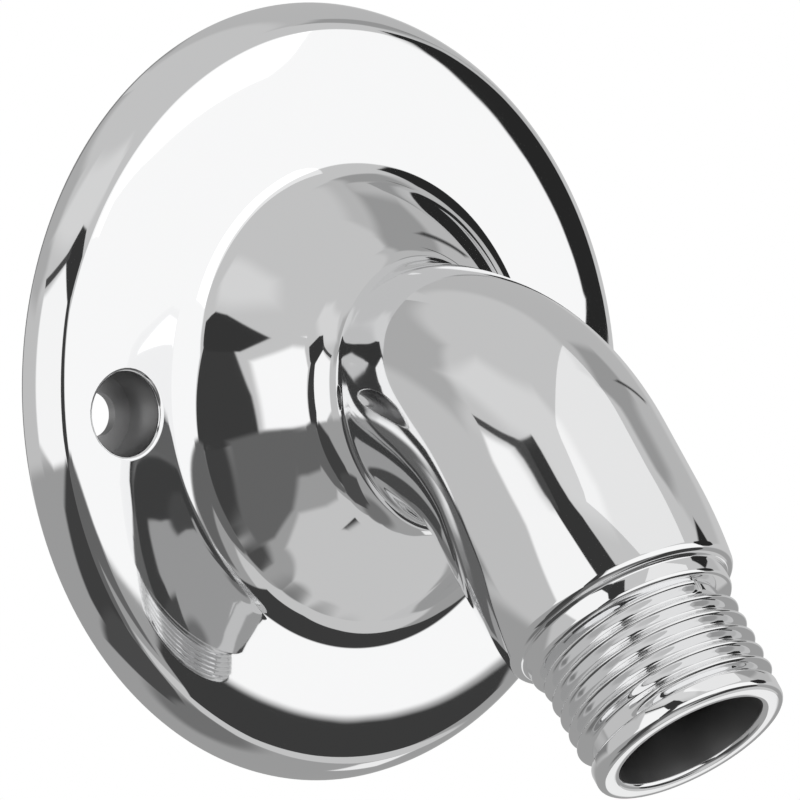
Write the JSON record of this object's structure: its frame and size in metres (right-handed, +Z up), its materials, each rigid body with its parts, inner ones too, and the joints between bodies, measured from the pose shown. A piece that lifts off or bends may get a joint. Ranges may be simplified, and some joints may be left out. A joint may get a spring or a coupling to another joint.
{
  "type": "shower arm",
  "caption": "Wall-mounted shower arm: a round wall plate with two sunk screw holes, a dome and a tube bent down to a collar and a male pipe thread; water enters behind.",
  "frame": {"origin": "centre of the wall plate's back face, where the inlet axis meets the wall", "axes": "+Z up; +Y into the wall; the arm leaves the wall along -Y and bends down in the plane X = 0; the screw holes lie on X"},
  "size_m": [0.0798, 0.0595, 0.0806],
  "materials": {
    "chrome_plate": "mirror-polished chrome plate"
  },
  "bodies": {
    "root": {"shower_arm": "chrome_plate"}
  },
  "joints": []
}
